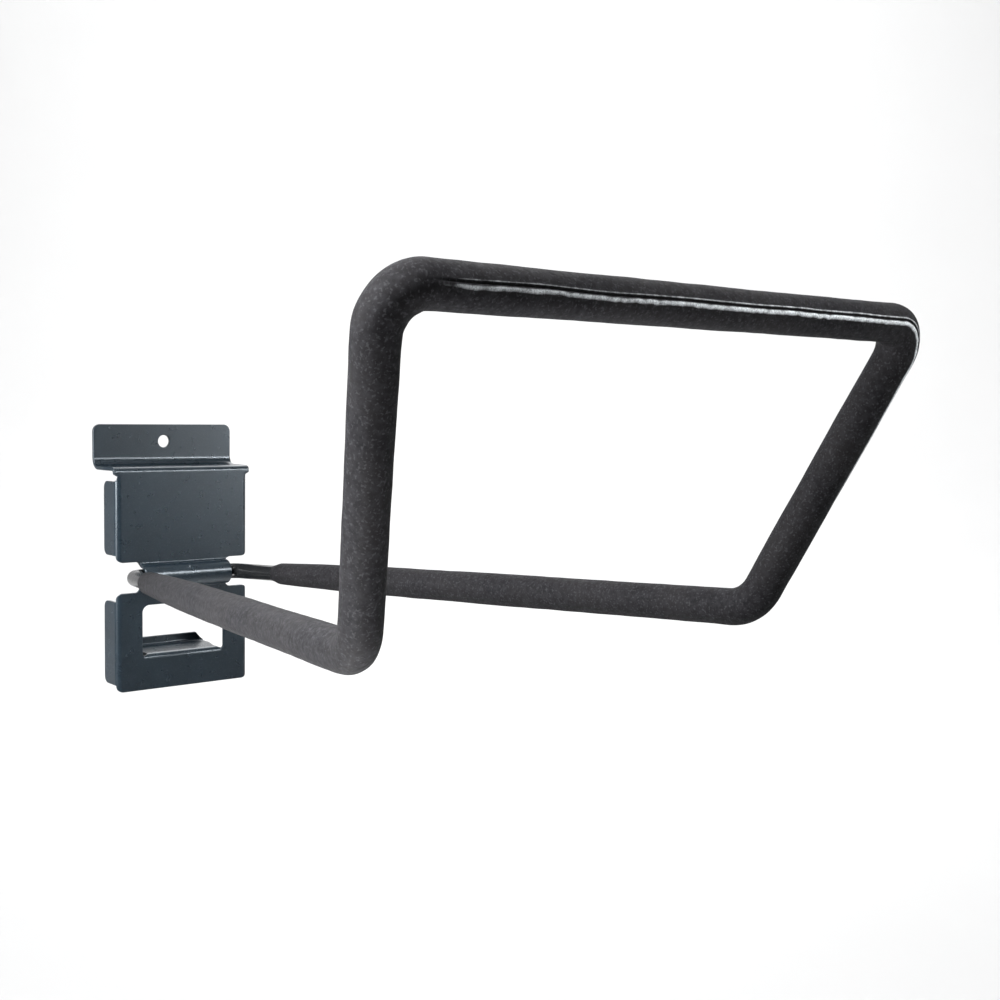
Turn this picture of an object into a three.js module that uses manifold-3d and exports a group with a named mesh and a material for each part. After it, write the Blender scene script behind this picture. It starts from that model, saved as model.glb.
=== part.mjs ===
// A padded wall hook for slatwall panels: a folded steel bracket that hangs in two panel slots,
// and a bent steel bar loop, welded into the bracket and covered with a foam sleeve.
//
// Millimetres. +X is to the right seen from the room, +Y goes into the wall, +Z is up.
// The origin is on the bracket's centre line, on the underside of its upper ledge, in the plane
// of the panel's face. So the bracket stands off the panel towards -Y, and its hooks are at +Y.
import * as THREE from "three";
import { mergeVertices } from "three/addons/utils/BufferGeometryUtils.js";
import Module from "manifold-3d";

// ---------------------------------------------------------------- driving dimensions
const sheet = 1.5;              // steel sheet thickness
const slotPitch = 76.2;         // between neighbouring slots of a slatwall panel
const standOff = 12.15;         // panel face to the front face of the bracket
const lipGap = 6.05;            // panel face to the hooks' front faces, for a 6 mm panel lip

const hookWidth = 61.8;         // upper hook, across
const hookTop = 18.4;           // upper hook's top edge
const hookCorner = 3;
const hookBend = 3.5;           // inside radius where the upper hook meets its ledge
const screwHoleRadius = 2.6;
const screwHoleHeight = 11.3;

const ledgeFrontWidth = 60.4;   // upper ledge, where it meets the plate
const ledgeNarrows = -3.45;     // the ledge is as wide as the hook behind this, and narrows in front
const ledgeCorner = 0.8;
const plateWidth = 58.6;        // over the side flanges
const plateCorner = 3.4;
const footCorner = 4.4;         // the lower plate's bottom corners
const plateBend = 0.7;          // inside radius where the plate meets a ledge
const upperPlateBottom = -36.9;
const lowerPlateTop = -49.3;
const lowerPlateBottom = -89.4;
const neckWidth = 38.2;
const neckFillet = 2;

const flangeBend = 0.8;         // inside radius where a side flange meets the plate
const flangeCorner = 2.8;
const upperFlange = { top: -4.3, bottom: -34.2 };
const lowerFlange = { top: -52.8, bottom: -86.6 };
const reliefWidth = 57.2;       // plate width in the relief notches above the side flanges
const reliefTop = -1.3;
const reliefCorner = 0.5;

const windowWidth = 36.4;
const windowTop = -54.7;
const windowBottom = -75.5;
const windowCorner = 3;
const windowNotch = 1.2;        // round end of the relief notch beside the lower hook
const lowerHook = { rootWidth: 31, rearWidth: 35.6, topWidth: 29.2, rise: 5.3, bend: 1.25 };
const lowerHookTaper = 0.4;     // above the ledge's top, where the lower hook starts to narrow
const lowerHookCorners = { root: 2, rear: 4, top: 1 };

const barRadius = 3.175;        // quarter inch round bar
const channelClearance = 0.325; // between the bar and the channel pressed around it
const channelDepth = 0.7;       // bar axis in front of the plate's front face
const channelHeight = -42.9;    // bar axis below the upper ledge's underside
const channelBlend = channelDepth;  // front radius where the channel runs out into the plates
const endGap = 1;               // between the bar's two cut ends, hidden in the channel

// The loop's corners on the right: out of the channel, up from the arm, over to the top bar.
const armCorner = new THREE.Vector3(22.7, -standOff - channelDepth, channelHeight);
const lowerCorner = new THREE.Vector3(73, -252.2, -34);
const upperCorner = new THREE.Vector3(95, -291.5, 53.4);
const armBend = 5.5;            // bend radii of the bar's centre line
const lowerBend = 13;
const upperBend = 9.5;

const foamRadius = 5.8;
const foamEndRadius = 4.3;      // the foam is thinnest at its ends and swells along the arm
const foamSwell = 45;           // distance over which it swells
const foamGap = 0.3;            // between the bar and the foam
const foamStart = 25;           // arm corner to the end of the foam, along the arm

const weldRadius = 1;
const weldGap = 0.3;            // from a weld to the bar and to the bracket
const weldInner = 4;            // a weld runs from this distance beside the centre line
const weldOuter = 17;           // to this one

const arcSteps = 7;             // facets in a quarter turn of a sheet bend or a corner
const barBendSteps = 9;         // rings in each bend of the bar
const barSides = 16;
const foamSides = 20;
const holeSides = 32;
const barStraightSteps = 2;     // rings along each straight of the bar
const foamStraightSteps = 8;
const weldCapSteps = 4;
const weldSides = 10;
const skinTolerance = 0.01;     // share of the foam's radius that a point may be off its outer skin
const cutMargin = 0.5;          // how far a cutting outline stands past what it cuts

const powderCoat = { color: 0x39424a, roughness: 0.42, metalness: 0.35 };
const barCoat = { color: 0x22262a, roughness: 0.45, metalness: 0.3 };
const foamSkin = { color: 0x2a2a2c, roughness: 0.85, metalness: 0 };
const weldMetal = { color: 0x2c3238, roughness: 0.5, metalness: 0.4 };

// ---------------------------------------------------------------- values that follow
const plateMiddle = -standOff + sheet / 2;
const plateBack = -standOff + sheet;
const hookMiddle = lipGap + sheet / 2;
const channelBendMiddle = barRadius + channelClearance + sheet / 2;
const barAxisY = armCorner.y;
const barAxisZ = armCorner.z;
const bracketReach = 2 * -lowerPlateBottom;  // more than the bracket measures in any direction

// ---------------------------------------------------------------- outlines
// A closed outline through [across, up, corner radius] points, with its corners as arcs.
function roundedOutline(points) {
  const outline = [];
  points.forEach(([x, y, radius = 0], index) => {
    const corner = new THREE.Vector2(x, y);
    const before = new THREE.Vector2(...points.at(index - 1)).sub(corner).normalize();
    const after = new THREE.Vector2(...points[(index + 1) % points.length]).sub(corner).normalize();
    if (radius === 0) {
      outline.push(corner);
      return;
    }
    const half = Math.acos(THREE.MathUtils.clamp(before.dot(after), -1, 1)) / 2;
    const inward = before.clone().add(after).normalize();
    const centre = corner.clone().addScaledVector(inward, radius / Math.sin(half));
    const from = corner.clone().addScaledVector(before, radius / Math.tan(half)).sub(centre);
    const to = corner.clone().addScaledVector(after, radius / Math.tan(half)).sub(centre);
    const turn = Math.atan2(from.cross(to), from.dot(to));
    for (let step = 0; step <= arcSteps; step += 1) {
      const spoke = from.clone().rotateAround(new THREE.Vector2(), (turn * step) / arcSteps);
      outline.push(spoke.add(centre));
    }
  });
  return new THREE.Shape(outline);
}

// The right half of an outline, given from the top down, with its mirror image on the left.
function mirroredOutline(half) {
  const left = half.map(([x, y, radius]) => [-x, y, radius]).reverse();
  return roundedOutline([...half, ...left]);
}

// Adds a point to an outline, unless the outline ends there already.
function addDistinct(outline, point) {
  if (outline.length === 0 || outline.at(-1).distanceTo(point) > 1e-6) {
    outline.push(point);
  }
}

// The section of a folded sheet whose middle runs through [along, up, middle radius] points.
function foldedSection(points) {
  const sides = [[], []];
  points.forEach(([x, y, radius = 0], index) => {
    const corner = new THREE.Vector2(x, y);
    const arriving = index === 0 ? null : corner.clone().sub(new THREE.Vector2(...points[index - 1]));
    const leaving =
      index === points.length - 1 ? null : new THREE.Vector2(...points[index + 1]).sub(corner);
    const first = (arriving ?? leaving).clone().normalize();
    const last = (leaving ?? arriving).clone().normalize();
    const turn = Math.atan2(first.cross(last), first.dot(last));
    const steps = radius ? arcSteps : 0;
    const left = first.clone().rotateAround(new THREE.Vector2(), Math.PI / 2);
    const start = corner.clone().addScaledVector(first, -radius * Math.tan(Math.abs(turn) / 2));
    const centre = start.clone().addScaledVector(left, Math.sign(turn) * radius);
    for (let step = 0; step <= steps; step += 1) {
      const angle = steps ? (turn * step) / steps : 0;
      const middle = start.clone().rotateAround(centre, angle);
      const normal = left.clone().rotateAround(new THREE.Vector2(), angle);
      addDistinct(sides[0], middle.clone().addScaledVector(normal, sheet / 2));
      addDistinct(sides[1], middle.clone().addScaledVector(normal, -sheet / 2));
    }
  });
  return new THREE.Shape([...sides[0], ...sides[1].reverse()]);
}

// ---------------------------------------------------------------- extrusions
function extrude(shape, depth) {
  return new THREE.ExtrudeGeometry(shape, { depth, bevelEnabled: false, steps: 1 });
}

// A section drawn in Y and Z, extruded along X.
function alongX(shape, low, high) {
  const turn = new THREE.Matrix4().makeBasis(
    new THREE.Vector3(0, 1, 0), new THREE.Vector3(0, 0, 1), new THREE.Vector3(1, 0, 0));
  return extrude(shape, high - low).applyMatrix4(turn).translate(low, 0, 0);
}

// An outline drawn in X and Z, extruded along Y.
function alongY(shape, low, high) {
  return extrude(shape, high - low).rotateX(Math.PI / 2).translate(0, high, 0);
}

// An outline drawn in X and Y, extruded along Z.
function alongZ(shape, low, high) {
  return extrude(shape, high - low).translate(0, 0, low);
}

// ---------------------------------------------------------------- solids
const wasm = await Module();
wasm.setup();

function solid(geometry) {
  const bare = geometry.clone();
  bare.deleteAttribute("normal");
  bare.deleteAttribute("uv");
  const welded = mergeVertices(bare, 1e-4);
  return new wasm.Manifold(new wasm.Mesh({
    numProp: 3,
    vertProperties: new Float32Array(welded.attributes.position.array),
    triVerts: new Uint32Array(welded.index.array),
  }));
}

function geometryOf(body) {
  const mesh = body.getMesh();
  const geometry = new THREE.BufferGeometry();
  geometry.setAttribute("position", new THREE.BufferAttribute(mesh.vertProperties, 3));
  geometry.setIndex(new THREE.BufferAttribute(mesh.triVerts, 1));
  geometry.computeVertexNormals();
  return geometry;
}

// ---------------------------------------------------------------- wall bracket
// Seen from the room: both plates and the neck between them.
function bracketFront() {
  const plate = plateWidth / 2;
  const neck = neckWidth / 2;
  return mirroredOutline([
    [ledgeFrontWidth / 2, sheet + cutMargin],
    [ledgeFrontWidth / 2, reliefTop, ledgeCorner],
    [reliefWidth / 2, reliefTop - 2 * reliefCorner, reliefCorner],
    [reliefWidth / 2, upperFlange.top + 2 * reliefCorner, reliefCorner],
    [plate, upperFlange.top, reliefCorner],
    [plate, upperPlateBottom, plateCorner],
    [neck, upperPlateBottom, neckFillet],
    [neck, lowerPlateTop, neckFillet],
    [plate, lowerPlateTop, plateCorner],
    [plate, lowerPlateBottom, footCorner],
  ]);
}

// Seen from the side: one side flange, from the plate back to the panel.
function flangeSide({ top, bottom }) {
  return roundedOutline([
    [-standOff, bottom],
    [0, bottom, flangeCorner],
    [0, top, flangeCorner],
    [-standOff, top],
  ]);
}

// Seen from above: the upper ledge, a little narrower at the plate than at the hook.
function ledgePlan() {
  return mirroredOutline([
    [hookWidth / 2, lipGap - hookBend],
    [hookWidth / 2, ledgeNarrows, hookCorner],
    [ledgeFrontWidth / 2, plateBack],
  ]);
}

function hookFront() {
  return mirroredOutline([
    [hookWidth / 2, hookTop, hookCorner],
    [hookWidth / 2, -cutMargin],
  ]);
}

// The section through the hook, ledge, plates and channel, all one folded strip.
function stripSection() {
  const channelFront = barAxisY - channelBendMiddle;
  const runOut = channelBlend + sheet / 2;
  return foldedSection([
    [hookMiddle, hookTop],
    [hookMiddle, sheet / 2, hookBend + sheet / 2],
    [plateMiddle, sheet / 2, plateBend + sheet / 2],
    [plateMiddle, barAxisZ + channelBendMiddle, runOut],
    [channelFront, barAxisZ + channelBendMiddle, channelBendMiddle],
    [channelFront, barAxisZ - channelBendMiddle, channelBendMiddle],
    [plateMiddle, barAxisZ - channelBendMiddle, runOut],
    [plateMiddle, lowerPlateBottom],
  ]);
}

// The section through the plate and both side flanges, seen from above.
function trough() {
  const side = plateWidth / 2 - sheet / 2;
  const radius = flangeBend + sheet / 2;
  return foldedSection([
    [-side, 0],
    [-side, plateMiddle, radius],
    [side, plateMiddle, radius],
    [side, 0],
  ]);
}

// The lower hook, with the strip of plate below its root that it bends out of.
function lowerHookSolid() {
  const { rootWidth, rearWidth, topWidth, rise, bend } = lowerHook;
  const corners = lowerHookCorners;
  const hookTopEdge = -slotPitch + rise;
  const stripBottom = -slotPitch - 2 * sheet;
  const hookBack = lipGap + sheet;
  const section = foldedSection([
    [plateMiddle, stripBottom],
    [plateMiddle, -slotPitch + sheet / 2, plateBend + sheet / 2],
    [hookMiddle, -slotPitch + sheet / 2, bend + sheet / 2],
    [hookMiddle, hookTopEdge],
  ]);
  const plan = mirroredOutline([
    [rearWidth / 2, hookBack + cutMargin],
    [rearWidth / 2, 0, corners.rear],
    [rootWidth / 2, plateBack + sheet, corners.root],
    [rootWidth / 2, -standOff - cutMargin],
  ]);
  const front = mirroredOutline([
    [topWidth / 2, hookTopEdge, corners.top],
    [rearWidth / 2, -slotPitch + sheet + lowerHookTaper, corners.top],
    [rearWidth / 2, stripBottom - cutMargin],
  ]);
  return solid(alongX(section, -windowWidth / 2, windowWidth / 2))
    .intersect(solid(alongZ(plan, stripBottom - cutMargin, hookTopEdge + cutMargin)))
    .intersect(solid(alongY(front, -standOff - cutMargin, hookBack + cutMargin)));
}

function windowCut() {
  const outline = mirroredOutline([
    [windowWidth / 2, windowTop, windowCorner],
    [windowWidth / 2, windowBottom, windowNotch],
  ]);
  return solid(alongY(outline, -standOff - cutMargin, plateBack + cutMargin));
}

function screwHole() {
  const drill = new THREE.CylinderGeometry(screwHoleRadius, screwHoleRadius, 4 * sheet, holeSides);
  return solid(drill.translate(0, hookMiddle, screwHoleHeight));
}

// A block as wide as given, around all of the bracket that lies above a height.
function blockAbove(width, bottom) {
  const block = new THREE.BoxGeometry(width, bracketReach, bracketReach);
  return solid(block.translate(0, 0, bottom + bracketReach / 2));
}

function wallBracket() {
  const reach = hookWidth / 2 + cutMargin;
  const strip = solid(alongX(stripSection(), -reach, reach));
  const frontZone = solid(alongY(bracketFront(), -2 * standOff, plateBack + cutMargin));
  const ledgeZone = solid(alongZ(ledgePlan(), -cutMargin, sheet + cutMargin));
  const hookZone = solid(alongY(hookFront(), lipGap - hookBend - cutMargin, lipGap + sheet + cutMargin));

  // The plates are flat between the side bends, and as wide as the ledge above the relief notches.
  const flatWidth = plateWidth - 2 * (sheet + flangeBend);
  const betweenBends = blockAbove(flatWidth, lowerPlateBottom - cutMargin);
  const aboveNotches = blockAbove(2 * reach, reliefTop - 2 * reliefCorner);
  const plates = strip.intersect(frontZone).intersect(betweenBends.add(aboveNotches));

  // The side flanges, and the bends that join them to the plates, stopping at the neck.
  const sides = solid(alongZ(trough(), lowerPlateBottom, reliefTop)).subtract(betweenBends);
  const bends = sides.intersect(frontZone);
  const flanges = [upperFlange, lowerFlange].map((flange) =>
    sides.intersect(solid(alongX(flangeSide(flange), -reach, reach))));

  return geometryOf(
    plates
      .add(strip.intersect(ledgeZone))
      .add(strip.intersect(hookZone))
      .add(bends).add(flanges[0]).add(flanges[1])
      .subtract(windowCut())
      .subtract(screwHole())
      .add(lowerHookSolid()));
}

// ---------------------------------------------------------------- bar loop and foam sleeve
// A bent bar's centre line, with its rings gathered in the bends instead of evenly spaced.
class BentBarCurve extends THREE.Curve {
  constructor(corners, straightSteps) {
    super();
    this.stations = [];
    corners.forEach(({ point, radius }, index) => {
      const before = corners[index - 1]?.point;
      const after = corners[index + 1]?.point;
      if (before === undefined || after === undefined) {
        this.addStraight(point, straightSteps);
        return;
      }
      const back = before.clone().sub(point).normalize();
      const ahead = after.clone().sub(point).normalize();
      const half = back.angleTo(ahead) / 2;
      const start = point.clone().addScaledVector(back, radius / Math.tan(half));
      const inward = back.clone().add(ahead).normalize();
      const centre = point.clone().addScaledVector(inward, radius / Math.sin(half));
      const axis = ahead.clone().cross(back).normalize();
      this.addStraight(start, straightSteps);
      for (let step = 1; step <= barBendSteps; step += 1) {
        const angle = ((Math.PI - 2 * half) * step) / barBendSteps;
        const spoke = start.clone().sub(centre).applyAxisAngle(axis, angle);
        this.stations.push(spoke.add(centre));
      }
    });
  }

  addStraight(end, steps) {
    const start = this.stations.at(-1);
    if (start === undefined) {
      this.stations.push(end.clone());
      return;
    }
    for (let step = 1; step <= steps; step += 1) {
      this.stations.push(start.clone().lerp(end, step / steps));
    }
  }

  getPoint(t) {
    const place = t * (this.stations.length - 1);
    const index = Math.min(Math.floor(place), this.stations.length - 2);
    return this.stations[index].clone().lerp(this.stations[index + 1], place - index);
  }

  getPointAt(u) {
    return this.getPoint(u);
  }

  getTangentAt(u) {
    const step = 0.5 / (this.stations.length - 1);
    const ahead = this.getPoint(Math.min(u + step, 1));
    return ahead.sub(this.getPoint(Math.max(u - step, 0))).normalize();
  }
}

function mirrored(point) {
  return new THREE.Vector3(-point.x, point.y, point.z);
}

function circleShape(radius, sides) {
  const points = [];
  for (let side = 0; side < sides; side += 1) {
    const angle = (2 * Math.PI * side) / sides;
    points.push(new THREE.Vector2(radius * Math.cos(angle), radius * Math.sin(angle)));
  }
  return new THREE.Shape(points);
}

function sweep(shape, curve) {
  const steps = curve.stations.length - 1;
  return new THREE.ExtrudeGeometry(shape, { steps, bevelEnabled: false, extrudePath: curve });
}

function loopBar() {
  const end = new THREE.Vector3(endGap / 2, barAxisY, barAxisZ);
  const right = [
    { point: end },
    { point: armCorner, radius: armBend },
    { point: lowerCorner, radius: lowerBend },
    { point: upperCorner, radius: upperBend },
  ];
  const left = right.map(({ point, radius }) => ({ point: mirrored(point), radius })).reverse();
  return sweep(circleShape(barRadius, barSides), new BentBarCurve([...right, ...left], barStraightSteps));
}

// The foam's radius at a distance from its end.
function foamRadiusAt(distance) {
  return foamRadius - (foamRadius - foamEndRadius) * Math.exp(-Math.max(distance, 0) / foamSwell);
}

// Draws in the foam's outer surface along one arm, so that it thins towards its end.
function thinTowardsEnd(geometry, start, direction, armLength) {
  const position = geometry.attributes.position;
  const point = new THREE.Vector3();
  for (let index = 0; index < position.count; index += 1) {
    point.fromBufferAttribute(position, index);
    const distance = point.clone().sub(start).dot(direction);
    const foot = start.clone().addScaledVector(direction, distance);
    const radius = point.distanceTo(foot);
    const onSkin = Math.abs(radius - foamRadius) < skinTolerance * foamRadius;
    if (onSkin && distance < armLength) {
      point.sub(foot).multiplyScalar(foamRadiusAt(distance) / foamRadius).add(foot);
      position.setXYZ(index, point.x, point.y, point.z);
    }
  }
}

function foamSleeve() {
  const direction = lowerCorner.clone().sub(armCorner).normalize();
  const start = armCorner.clone().addScaledVector(direction, foamStart);
  const right = [
    { point: start },
    { point: lowerCorner, radius: lowerBend },
    { point: upperCorner, radius: upperBend },
  ];
  const left = right.map(({ point, radius }) => ({ point: mirrored(point), radius })).reverse();
  const ring = circleShape(foamRadius, foamSides);
  ring.holes.push(new THREE.Path(circleShape(barRadius + foamGap, barSides).getPoints()));
  const sleeve = sweep(ring, new BentBarCurve([...right, ...left], foamStraightSteps));
  const armLength = lowerCorner.distanceTo(start) - 2 * lowerBend;
  thinTowardsEnd(sleeve, start, direction, armLength);
  thinTowardsEnd(sleeve, mirrored(start), mirrored(direction), armLength);
  return sleeve;
}

// ---------------------------------------------------------------- welds
// A weld lies behind the plate, in the groove between the bar and the channel's blend, so its
// centre is one weld radius and a gap away from both.
function weldCentre(side) {
  const blendCentreZ = channelBendMiddle + channelBlend + sheet / 2;
  const toBar = barRadius + weldGap + weldRadius;
  const toBlend = channelBlend + sheet + weldGap + weldRadius;
  const up = (toBar ** 2 - toBlend ** 2 + blendCentreZ ** 2) / (2 * blendCentreZ);
  const back = Math.sqrt(toBar ** 2 - up ** 2);
  return new THREE.Vector3(0, barAxisY + back, barAxisZ + side * up);
}

function weldBead() {
  const length = weldOuter - weldInner - 2 * weldRadius;
  return new THREE.CapsuleGeometry(weldRadius, length, weldCapSteps, weldSides).rotateZ(Math.PI / 2);
}

// ---------------------------------------------------------------- the assembly
const assembly = new THREE.Group();

function addPiece(name, geometry, finish) {
  const piece = new THREE.Mesh(geometry, new THREE.MeshStandardMaterial(finish));
  piece.name = name;
  assembly.add(piece);
  return piece;
}

addPiece("wall_bracket", wallBracket(), powderCoat);
addPiece("loop_bar", loopBar(), barCoat);
addPiece("foam_sleeve", foamSleeve(), foamSkin);
for (const [height, up] of [["upper", 1], ["lower", -1]]) {
  for (const [side, across] of [["left", -1], ["right", 1]]) {
    const weld = addPiece(`weld_${height}_${side}`, weldBead(), weldMetal);
    weld.position.copy(weldCentre(up));
    weld.position.x = (across * (weldInner + weldOuter)) / 2;
  }
}

export default assembly;
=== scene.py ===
import math

import bmesh
import bpy
import numpy as np
from mathutils import Matrix, Vector, noise
from mathutils.geometry import delaunay_2d_cdt


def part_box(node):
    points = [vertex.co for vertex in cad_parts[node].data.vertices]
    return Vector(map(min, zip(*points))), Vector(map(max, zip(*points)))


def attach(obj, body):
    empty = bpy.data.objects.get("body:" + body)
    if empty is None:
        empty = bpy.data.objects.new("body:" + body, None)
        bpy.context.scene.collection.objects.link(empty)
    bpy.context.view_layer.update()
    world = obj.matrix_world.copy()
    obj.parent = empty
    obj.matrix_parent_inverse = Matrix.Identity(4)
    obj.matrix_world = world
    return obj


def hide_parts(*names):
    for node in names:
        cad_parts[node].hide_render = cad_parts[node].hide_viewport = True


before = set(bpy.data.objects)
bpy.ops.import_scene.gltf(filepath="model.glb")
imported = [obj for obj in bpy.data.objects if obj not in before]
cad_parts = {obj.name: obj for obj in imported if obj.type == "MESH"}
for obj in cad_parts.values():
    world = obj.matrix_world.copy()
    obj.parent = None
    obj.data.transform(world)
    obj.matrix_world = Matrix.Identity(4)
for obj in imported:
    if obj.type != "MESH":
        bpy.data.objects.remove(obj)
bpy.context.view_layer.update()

# The looks of a padded slatwall hook. Metres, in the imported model's frame: +X to the right seen
# from the room, +Y into the wall, +Z up, with the origin at the underside of the upper ledge.
MM = 0.001

# ---------------------------------------------------------------- sizes
BRACKET_LOW, BRACKET_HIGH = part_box("wall_bracket")
SHEET = 1.5 * MM
EDGE_ROUND = 0.28 * MM            # radius of a sheared and coated edge

STAND_OFF = 12.15 * MM            # panel face to the plates' front
SLOT_PITCH = 76.2 * MM
HOOK_MIDDLE = BRACKET_HIGH.y - SHEET / 2
HOOK_TOP = BRACKET_HIGH.z
HOOK_HALF = BRACKET_HIGH.x
HOOK_BEND = 3.5 * MM
LEDGE_NARROWS = -3.45 * MM        # the ledge narrows in front of this
LEDGE_FRONT_HALF = 30.2 * MM
PLATE_BEND = 0.7 * MM
PLATE_MIDDLE = -STAND_OFF + SHEET / 2
RELIEF_HALF = 28.6 * MM
RELIEF_TOP = -1.3 * MM
UPPER_PLATE_BOTTOM = -36.9 * MM
LOWER_PLATE_TOP = -49.3 * MM
LOWER_PLATE_BOTTOM = BRACKET_LOW.z
NECK_HALF = 19.1 * MM
PLATE_HALF = 29.3 * MM
FLANGE_BEND = 0.8 * MM
FLAT_HALF = PLATE_HALF - FLANGE_BEND - SHEET   # the side bends start here
FLANGE_CORNER = 2.8 * MM
HOOK_CORNER = 3 * MM
LEDGE_REAR_CORNER = 1 * MM
LEDGE_FRONT_CORNER = 0.8 * MM
PLATE_CORNER = 2.5 * MM
PLATE_CORNER_INSET = 0.5 * MM     # the plates' corners stop this far before the side bends end
NECK_CORNER = 2 * MM
NOTCH_CORNER = 0.5 * MM
RELIEF_SLOPE = 1 * MM             # the relief notch's top edge slopes over this height
RELIEF_FOOT = 0.8 * MM
FILLET = 0.1 * MM
UPPER_FLANGE = (-4.3 * MM, -34.2 * MM)
LOWER_FLANGE = (-52.8 * MM, -86.6 * MM)
SCREW_HOLE_RADIUS = 2.6 * MM
SCREW_HOLE_HEIGHT = 11.3 * MM

WINDOW_HALF = 18.2 * MM
WINDOW_TOP = -54.7 * MM
WINDOW_BOTTOM = -75.5 * MM
LOWER_HOOK_ROOT_HALF = 15.5 * MM
LOWER_HOOK_REAR_HALF = 17.8 * MM
LOWER_HOOK_TOP_HALF = 14.6 * MM
LOWER_HOOK_RISE = 5.3 * MM
LOWER_HOOK_BEND = 1.25 * MM
LOWER_HOOK_WIDENS = 0.5 * MM      # behind the plate, where the lower hook starts to widen
LOWER_HOOK_NARROWS = 2 * MM       # above its bend, where it starts to narrow
WINDOW_CORNER = 3 * MM
ROOT_CORNER = 1.2 * MM            # beside the lower hook's root
WIDENING_CORNER = 2 * MM
REAR_CORNER = 3 * MM
NARROWING_CORNER = 1 * MM
TIP_CORNER = 0.6 * MM
TAB_CORNER_REACH = 4 * MM         # the window's upper corners stay flat within this of the tab
LOWER_HOOK_SHRINK = 0.88          # blank length over folded length, so that it fits in the window

BAR_RADIUS = 3.175 * MM
ARM_CORNER = Vector((22.7, -12.85, -42.9)) * MM
LOWER_CORNER = Vector((73, -252.2, -34)) * MM
UPPER_CORNER = Vector((95, -291.5, 53.4)) * MM
ARM_BEND = 5.5 * MM
LOWER_BEND = 13 * MM
UPPER_BEND = 9.5 * MM
END_GAP = 1 * MM
CHANNEL_MIDDLE = BAR_RADIUS + 0.325 * MM + SHEET / 2   # middle radius of the channel around the bar
CHANNEL_FRONT = ARM_CORNER.y - CHANNEL_MIDDLE

FOAM_RADIUS = 5.8 * MM
FOAM_START = 25 * MM              # arm corner to the foam's end, along the arm

MERGE_DISTANCE = 0.001 * MM
CORNER_STEPS = 8                  # straight pieces in a rounded corner of an outline
BEND_STEPS = 14                   # and in the section of a bend


# ---------------------------------------------------------------- small helpers
def smooth_step(low, high, value):
    """0 below low, 1 above high and smooth between. low may be the larger one."""
    share = min(max((value - low) / (high - low), 0), 1)
    return share * share * (3 - 2 * share)


def bump(distance, width):
    return math.exp(-((distance / width) ** 2))


def new_object(name, vertices, faces, marks=None):
    """A smooth-shaded mesh object, with shared vertices merged and its faces pointing out.

    marks is a number for each vertex, which the material reads as the attribute "mark".
    """
    mesh = bpy.data.meshes.new(name)
    mesh.from_pydata(vertices, [], faces)
    if marks is not None:
        mesh.attributes.new("mark", "FLOAT", "POINT").data.foreach_set("value", marks)
    work = bmesh.new()
    work.from_mesh(mesh)
    bmesh.ops.remove_doubles(work, verts=work.verts, dist=MERGE_DISTANCE)
    bmesh.ops.recalc_face_normals(work, faces=work.faces)
    open_edges = [edge for edge in work.edges if len(edge.link_faces) != 2]
    if open_edges:
        raise RuntimeError(f"{name} has {len(open_edges)} edges that don't join two faces")
    work.to_mesh(mesh)
    work.free()
    mesh.shade_smooth()
    made = bpy.data.objects.new(name, mesh)
    bpy.context.scene.collection.objects.link(made)
    return made


# ---------------------------------------------------------------- folded sheet
class FoldedLine:
    """The middle of a folded sheet seen from the side: [y, z, radius] corners as straights and arcs."""

    def __init__(self, corners):
        self.spans = []
        self.straights = []
        self.bends = []
        length = 0
        place = Vector(corners[0][:2])
        for index in range(1, len(corners)):
            corner = Vector(corners[index][:2])
            direction = (corner - place).normalized()
            heading = math.atan2(direction.y, direction.x)
            turn = 0
            tangent = 0
            if index + 1 < len(corners):
                onward = (Vector(corners[index + 1][:2]) - corner).normalized()
                radius = corners[index][2]
                turn = math.atan2(direction.cross(onward), direction.dot(onward))
                tangent = radius * math.tan(abs(turn) / 2)
            straight = (corner - place).length - tangent
            self.straights.append((length, place, direction))
            self.spans.append((length, place, heading, 0))
            length += straight
            place = place + direction * straight
            if turn:
                self.spans.append((length, place, heading, math.copysign(1 / radius, turn)))
                self.bends.append((length, length + radius * abs(turn)))
                length += radius * abs(turn)
                place = corner + onward * tangent
        self.length = length

    def along(self, straight, y, z):
        """The length along the line to the foot of a point on one of its straights."""
        start, place, direction = self.straights[straight]
        return start + (Vector((y, z)) - place).dot(direction)

    def at(self, length):
        """The point at that length, and the line's heading there."""
        start, place, heading, curvature = [s for s in self.spans if s[0] <= length or s[0] == 0][-1]
        gone = length - start
        if curvature == 0:
            return place + Vector((math.cos(heading), math.sin(heading))) * gone, heading
        after = heading + curvature * gone
        offset = Vector((math.sin(after) - math.sin(heading), math.cos(heading) - math.cos(after)))
        return place + offset / curvature, after


LEDGE, UPPER_PLATE, LOWER_PLATE = 1, 2, 6    # the strip's straights, counted from its top
CHANNEL_TOP = ARM_CORNER.z + CHANNEL_MIDDLE
CHANNEL_BOTTOM = ARM_CORNER.z - CHANNEL_MIDDLE
STRIP = FoldedLine([
    (HOOK_MIDDLE, HOOK_TOP, 0),
    (HOOK_MIDDLE, SHEET / 2, HOOK_BEND + SHEET / 2),
    (PLATE_MIDDLE, SHEET / 2, PLATE_BEND + SHEET / 2),
    (PLATE_MIDDLE, CHANNEL_TOP, PLATE_BEND + SHEET / 2),
    (CHANNEL_FRONT, CHANNEL_TOP, CHANNEL_MIDDLE),
    (CHANNEL_FRONT, CHANNEL_BOTTOM, CHANNEL_MIDDLE),
    (PLATE_MIDDLE, CHANNEL_BOTTOM, PLATE_BEND + SHEET / 2),
    (PLATE_MIDDLE, LOWER_PLATE_BOTTOM, 0),
])

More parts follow.
